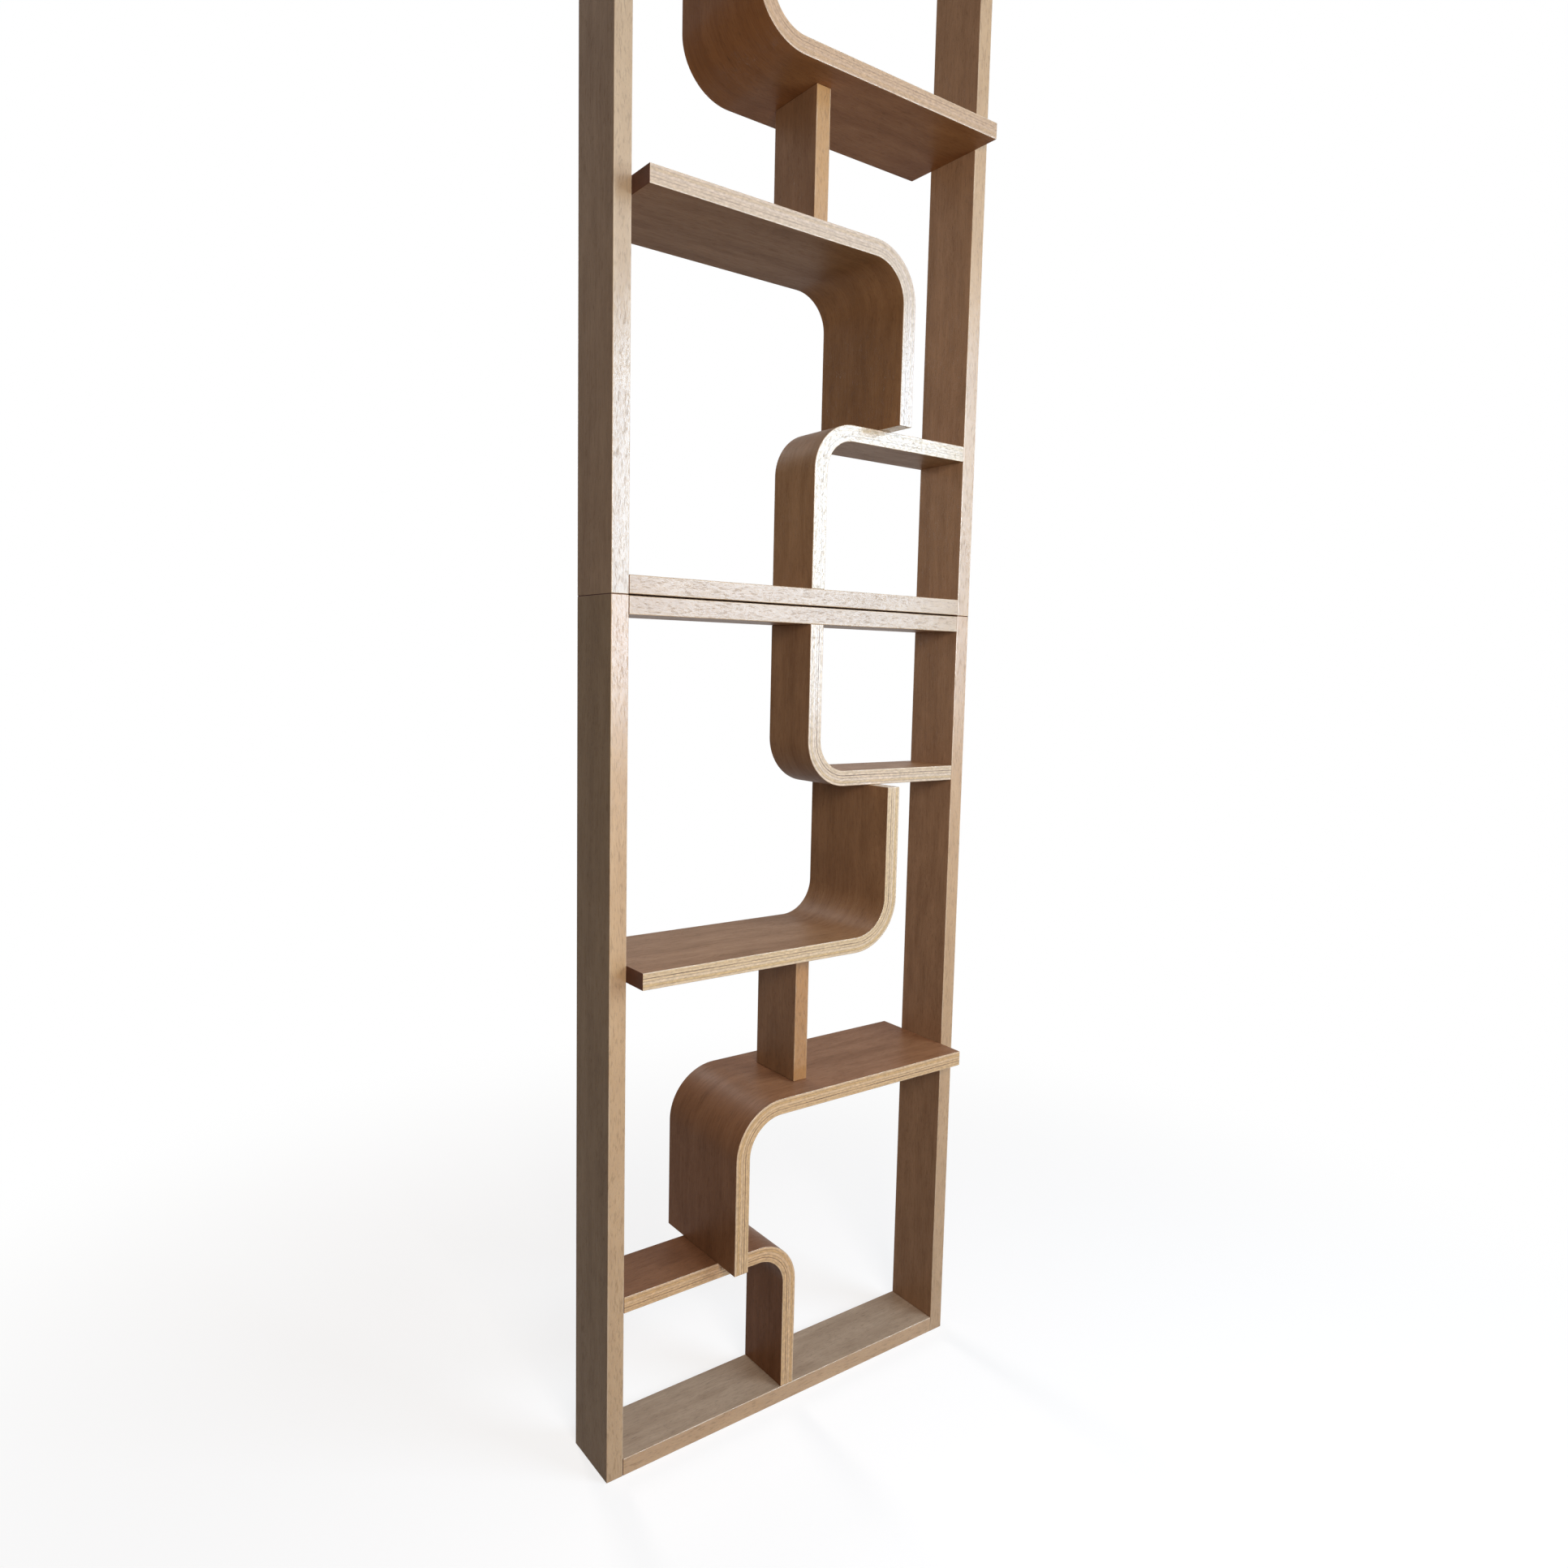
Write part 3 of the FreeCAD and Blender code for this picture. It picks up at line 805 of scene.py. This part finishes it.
def ply_edge_material(module):
    """Edge of a module's pressed strips, where their layers show."""
    finish = settings("finish")
    material, tree, shader = new_material(module + "_ply_edge")
    plies = place_group(tree, shader_group("Ply layers"), {
        "Place": attribute(tree, GRAIN_PLACE), "Half Size": attribute(tree, HALF_SIZE), "Ply": finish.ply,
        "Pale": finish.ply_pale, "Tan": finish.ply_tan, "Glue": finish.glue,
        "Contrast": PLY_CONTRAST[module]}).outputs
    colour = tinted_worn_and_highlit(tree, plies["Color"], EDGE_TINT, EDGE_RUBBING_AND_HIGHLIGHT)
    roughness = calc(tree, "MULTIPLY_ADD", plies["Line"], LINE_ROUGHNESS, PLY_ROUGHNESS)
    lacquer(tree, shader, colour, roughness, plies["Line"], EDGE_SHINE)
    polish(tree, shader, plies["Line"])
    return material


def stained_material():
    """Dark stained ends of boards and shelves, with the pores seen end on."""
    stain = settings("finish").stain
    material, tree, shader = new_material("stained_end")
    place = attribute(tree, GRAIN_PLACE)
    speckle = noise(tree, place, *END_PORE_NOISE)
    tone = calc(tree, "MULTIPLY", noise(tree, place, *END_CLOUD_NOISE), END_CLOUD_TONE)
    tone = calc(tree, "MULTIPLY_ADD", speckle, END_PORE_TONE, tone)
    pale = [min(1.0, part * END_PALENESS) for part in stain[:3]] + [1.0]
    colour = mixed(tree, ramp(tree, tone, *END_TONE_RAMP), stain, pale)
    roughness = calc(tree, "MULTIPLY_ADD", speckle, END_PORE_ROUGHNESS, END_ROUGHNESS)
    lacquer(tree, shader, colour, roughness, calc(tree, "SUBTRACT", 1.0, speckle), FACE_SHINE)
    return material


def dowel_material(name, turn):
    """Raw turned wood of the dowels and pins, grain along the axis that the turn brings to X."""
    material, tree, shader = new_material(name)
    coordinates = add_node(tree, "ShaderNodeTexCoord").outputs["Object"]
    place = add_node(tree, "ShaderNodeMapping", {"Vector": coordinates, "Rotation": turn}).outputs[0]
    colour, roughness, pores = figured(tree, place, "dowel")
    lacquer(tree, shader, colour, roughness, pores, FACE_SHINE)
    return material


def finish_named(name):
    """One of the unit's materials, made on first use."""
    makers = {
        "brown_veneer": lambda: board_material(name, "veneer", FACE_TINT, FACE_RUBBING_AND_HIGHLIGHT, FACE_SHINE),
        "pressed_veneer": lambda: board_material(name, "veneer", FACE_TINT, FACE_RUBBING_AND_HIGHLIGHT, PRESSED_SHINE),
        "pale_lipping_wood": lambda: board_material(name, "lipping", EDGE_TINT, EDGE_RUBBING_AND_HIGHLIGHT, EDGE_SHINE),
        "lower_ply_edge": lambda: ply_edge_material("lower"),
        "upper_ply_edge": lambda: ply_edge_material("upper"),
        "stained_end": stained_material,
        "dowel_lengthwise": lambda: dowel_material(name, (0.0, 0.0, 0.0)),
        "dowel_standing": lambda: dowel_material(name, (0.0, QUARTER_TURN, 0.0)),
    }
    return bpy.data.materials.get(name) or makers[name]()


def geometry_tree(name):
    """One of the piece trees, built on first use."""
    found = bpy.data.node_groups.get(name)
    if found:
        return found
    blank = bpy.data.node_groups.get("Eased blank") or blank_tree()
    return board_tree(blank) if name == "Lipped board" else strip_tree(blank)


# Operators

def tint_of(tints, module, piece):
    """Tint of a piece of one module, or of its like in both."""
    return tints.get(module + "_" + piece, tints.get(piece, PLAIN_TINT))


def pin_bore(module, board):
    """Radius and depth of the hole that takes a locating pin in an upper upright."""
    if module != "upper" or board not in UPRIGHTS:
        return 0.0, 0.0
    clearance = settings("boards").pin_clearance
    low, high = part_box("seam_pins")
    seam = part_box(module + "_" + board)[0].z
    return (high.y - low.y) / 2 + clearance, high.z - seam + clearance


def board_values(module, board):
    """Input values of a board's tree, from the boxes of its core and its lippings."""
    node = module + "_" + board
    low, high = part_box(node + "_lippings")
    core_low, core_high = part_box(node)
    if board == "seam_rail":
        # Only the uprights carry the upper module, so a dark line is left between the rails
        high.z -= settings("boards").seam_gap if module == "lower" else 0.0
        low.z += settings("boards").seam_gap if module == "upper" else 0.0
    size = high - low
    stands = board in UPRIGHT_BOARDS
    number = MODULES.index(module) * len(BOARDS) + BOARDS.index(board)
    bore_radius, bore_depth = pin_bore(module, board)
    return {
        "Length": size.z if stands else size.x,
        "Depth": size.y,
        "Thickness": size.x if stands else size.z,
        "Core Depth": core_high.y - core_low.y,
        "Arris": settings("boards").arris,
        "Grain Start": number * settings("boards").grain_step,
        "Centre": (low + high) / 2,
        "Bore Radius": bore_radius,
        "Bore Depth": bore_depth,
        "Turn": (0.0, -QUARTER_TURN if stands else 0.0, 0.0),
        "Face Tint": tint_of(FACE_TINTS_AND_PAINTED_LIGHT, module, board),
        "Edge Tint": tint_of(EDGE_TINTS_AND_PAINTED_LIGHT, module, board),
        "Polish": POLISHES.get(board, FULL_POLISH),
        "Face Finish": finish_named("brown_veneer"),
    }


def make_boards(edge_strips, node_end, piece_end, edge_finish):
    """The cores of all the boards, or the strips on their edges."""
    for module in MODULES:
        for board in BOARDS:
            node = module + "_" + board + node_end
            piece = make_piece(node + piece_end, geometry_tree("Lipped board"), {
                **board_values(module, board), "Edge Strips": edge_strips,
                "Edge Finish": finish_named(edge_finish), "End Finish": finish_named("stained_end")})
            hand_over(piece, module, node)


class WALLUNIT_OT_board_cores(bpy.types.Operator):
    """Make the veneered cores of the uprights, rails and posts"""
    bl_idname = "wallunit.board_cores"
    bl_label = "Board cores"

    def execute(self, context):
        make_boards(False, "", "_veneered", "brown_veneer")
        return {"FINISHED"}


class WALLUNIT_OT_lippings(bpy.types.Operator):
    """Make the pale strips on the front and back edges of the boards"""
    bl_idname = "wallunit.lippings"
    bl_label = "Lippings"

    def execute(self, context):
        make_boards(True, "_lippings", "_planed", "pale_lipping_wood")
        return {"FINISHED"}


class WALLUNIT_OT_bent_strips(bpy.types.Operator):
    """Make the bent plywood strips that are shelf and leg in one"""
    bl_idname = "wallunit.bent_strips"
    bl_label = "Bent strips"

    def execute(self, context):
        strips = settings("strips")
        half = strips.thickness / 2
        for module in MODULES:
            for number, (strip, (leg_side, leg_rise)) in enumerate(STRIPS.items()):
                if module == "upper":
                    leg_rise = -leg_rise
                node = module + "_" + strip
                low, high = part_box(node)
                size = high - low
                outer_radius = strips.small_radius if "small" in strip else strips.wide_radius
                radius = outer_radius - half
                flat = size.x - outer_radius
                cut = 1 + number + len(STRIPS) * MODULES.index(module)
                shelf_end = Vector((
                    low.x if leg_side > 0 else high.x, 0.0, high.z - half if leg_rise < 0 else low.z + half))
                piece = make_piece(node + "_pressed", geometry_tree("Bent strip"), {
                    "Length": flat + radius * QUARTER_TURN + size.z - outer_radius,
                    "Depth": size.y,
                    "Thickness": strips.thickness,
                    "Segments": strips.segments,
                    "Arris": strips.arris,
                    "Bend Radius": radius,
                    "Flat": flat,
                    "Shelf End": shelf_end,
                    "Shelf Direction": Vector((leg_side, 0, 0)),
                    "Leg Direction": Vector((0, 0, leg_rise)),
                    "Grain Start": -cut * settings("boards").grain_step,
                    "Face Tint": tint_of(FACE_TINTS_AND_PAINTED_LIGHT, module, strip),
                    "Edge Tint": tint_of(EDGE_TINTS_AND_PAINTED_LIGHT, module, strip),
                    "Polish": FULL_POLISH,
                    "Face Finish": finish_named("pressed_veneer"),
                    "Edge Finish": finish_named(module + "_ply_edge"),
                    "End Finish": finish_named("stained_end"),
                })
                hand_over(piece, module, node)
        return {"FINISHED"}


class WALLUNIT_OT_dowels(bpy.types.Operator):
    """Give the dowels and the locating pins their raw wood"""
    bl_idname = "wallunit.dowels"
    bl_label = "Dowels and pins"

    def execute(self, context):
        groups = [("seam_pins", "dowel_standing")]
        for module in MODULES:
            groups += [(module + "_" + name, "dowel_lengthwise") for name in LENGTHWISE_DOWELS]
            groups += [(module + "_" + name, "dowel_standing") for name in STANDING_DOWELS]
        for node, finish in groups:
            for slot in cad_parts[node].material_slots:
                slot.material = finish_named(finish)
        return {"FINISHED"}


def add_camera(stage):
    """Camera at the photograph's point of view."""
    data = bpy.data.cameras.new("photo_view")
    data.sensor_width = SENSOR_WIDTH
    data.lens = stage.focal_pixels / PHOTO_PIXELS * SENSOR_WIDTH
    camera = new_object("photo_view", data)
    level = Matrix.Rotation(-stage.yaw, 4, "Z") @ Matrix.Rotation(QUARTER_TURN + stage.pitch, 4, "X")
    camera.matrix_world = Matrix.Translation(stage.eye) @ level @ Matrix.Rotation(stage.roll, 4, "Z")
    bpy.context.scene.camera = camera


def add_lamp(stage, name):
    """Soft area light that points at a place and stays out of the picture."""
    place, aim, width, height, colour = LAMPS[name]
    data = bpy.data.lights.new(name + "_light", "AREA")
    data.shape = "RECTANGLE"
    data.size = width
    data.size_y = height
    data.color = colour
    data.energy = getattr(stage, name + "_power")
    light = new_object(name + "_light", data)
    light.location = place
    light.rotation_euler = (Vector(aim) - Vector(place)).to_track_quat("-Z", "Y").to_euler()
    light.visible_camera = False


def seen_directly(tree):
    """1 for what the camera sees directly, in a mirror or through glass, else 0."""
    path = add_node(tree, "ShaderNodeLightPath").outputs
    direct = calc(tree, "MAXIMUM", path["Is Camera Ray"], path["Is Glossy Ray"])
    return calc(tree, "MAXIMUM", direct, path["Is Transmission Ray"])


def add_floor(stage):
    """Pale floor that takes the unit's shadow and fades to plain white further out."""
    half = stage.floor_size / 2
    mesh = bpy.data.meshes.new("floor")
    corners = [(-half, -half, 0), (half, -half, 0), (half, half, 0), (-half, half, 0)]
    mesh.from_pydata(corners, [], [(0, 1, 2, 3)])
    floor = new_object("floor", mesh)
    material, tree = new_material("pale_floor")[:2]
    tree.nodes.remove(tree.nodes["Principled BSDF"])
    place = add_node(tree, "ShaderNodeTexCoord").outputs["Object"]
    distance = add_node(tree, "ShaderNodeVectorMath", {0: place}, operation="LENGTH").outputs["Value"]
    direct = seen_directly(tree)
    matt = add_node(tree, "ShaderNodeBsdfDiffuse", {
        "Color": mixed(tree, direct, FLOOR_BOUNCE, FLOOR_COLOUR)})
    glow = add_node(tree, "ShaderNodeEmission", {
        "Color": WHITE, "Strength": calc(tree, "MULTIPLY", direct, FLOOR_GLOW)})
    white = add_node(tree, "ShaderNodeEmission", {"Color": WHITE, "Strength": 1.0})
    near = add_node(tree, "ShaderNodeAddShader", {0: matt.outputs[0], 1: glow.outputs[0]})
    fade = calc(tree, "MULTIPLY", direct, ramp(tree, distance, *FLOOR_FADE))
    blend = add_node(tree, "ShaderNodeMixShader", {0: fade, 1: near.outputs[0], 2: white.outputs[0]})
    connect(tree, tree.nodes["Material Output"].inputs["Surface"], blend.outputs[0])
    mesh.materials.append(material)


def add_sky(stage):
    """Even light from all around, white where the camera sees it."""
    world = bpy.data.worlds.new("studio")
    bpy.context.scene.world = world
    world.use_nodes = True
    tree = world.node_tree
    background = tree.nodes["Background"].inputs
    background["Color"].default_value = WHITE
    strength = ramp(tree, seen_directly(tree), 0.0, 1.0, stage.sky, 1.0)
    connect(tree, background["Strength"], strength)


class WALLUNIT_OT_stage(bpy.types.Operator):
    """Set up the floor, the lamps and the camera"""
    bl_idname = "wallunit.stage"
    bl_label = "Stage"

    def execute(self, context):
        stage = settings("stage")
        add_floor(stage)
        add_sky(stage)
        for name in LAMPS:
            add_lamp(stage, name)
        add_camera(stage)
        context.scene.view_settings.view_transform = "Standard"
        return {"FINISHED"}


OPERATORS = (
    WALLUNIT_OT_board_cores, WALLUNIT_OT_lippings, WALLUNIT_OT_bent_strips, WALLUNIT_OT_dowels,
    WALLUNIT_OT_stage,
)
SETTINGS = {
    "boards": BoardSettings,
    "strips": StripSettings,
    "finish": FinishSettings,
    "stage": StageSettings,
}


class WALLUNIT_PT_panel(bpy.types.Panel):
    """Steps and settings of the wall unit"""
    bl_idname = "WALLUNIT_PT_panel"
    bl_label = "Wall Unit"
    bl_space_type = "VIEW_3D"
    bl_region_type = "UI"
    bl_category = "Wall Unit"

    def draw(self, context):
        for operator in OPERATORS:
            self.layout.operator(operator.bl_idname)
        for group in SETTINGS:
            values = settings(group)
            box = self.layout.box()
            for name in values.bl_rna.properties.keys():
                if name not in ("rna_type", "name"):
                    box.prop(values, name)


CLASSES = tuple(SETTINGS.values()) + OPERATORS + (WALLUNIT_PT_panel,)


def register():
    for item in CLASSES:
        bpy.utils.register_class(item)
    for group, kind in SETTINGS.items():
        setattr(bpy.types.Scene, "wall_unit_" + group, PointerProperty(type=kind))


def unregister():
    for group in SETTINGS:
        delattr(bpy.types.Scene, "wall_unit_" + group)
    for item in reversed(CLASSES):
        bpy.utils.unregister_class(item)


def main():
    register()
    bpy.ops.wallunit.board_cores()
    bpy.ops.wallunit.lippings()
    bpy.ops.wallunit.bent_strips()
    bpy.ops.wallunit.dowels()
    bpy.ops.wallunit.stage()


if __name__ == "__main__":
    main()
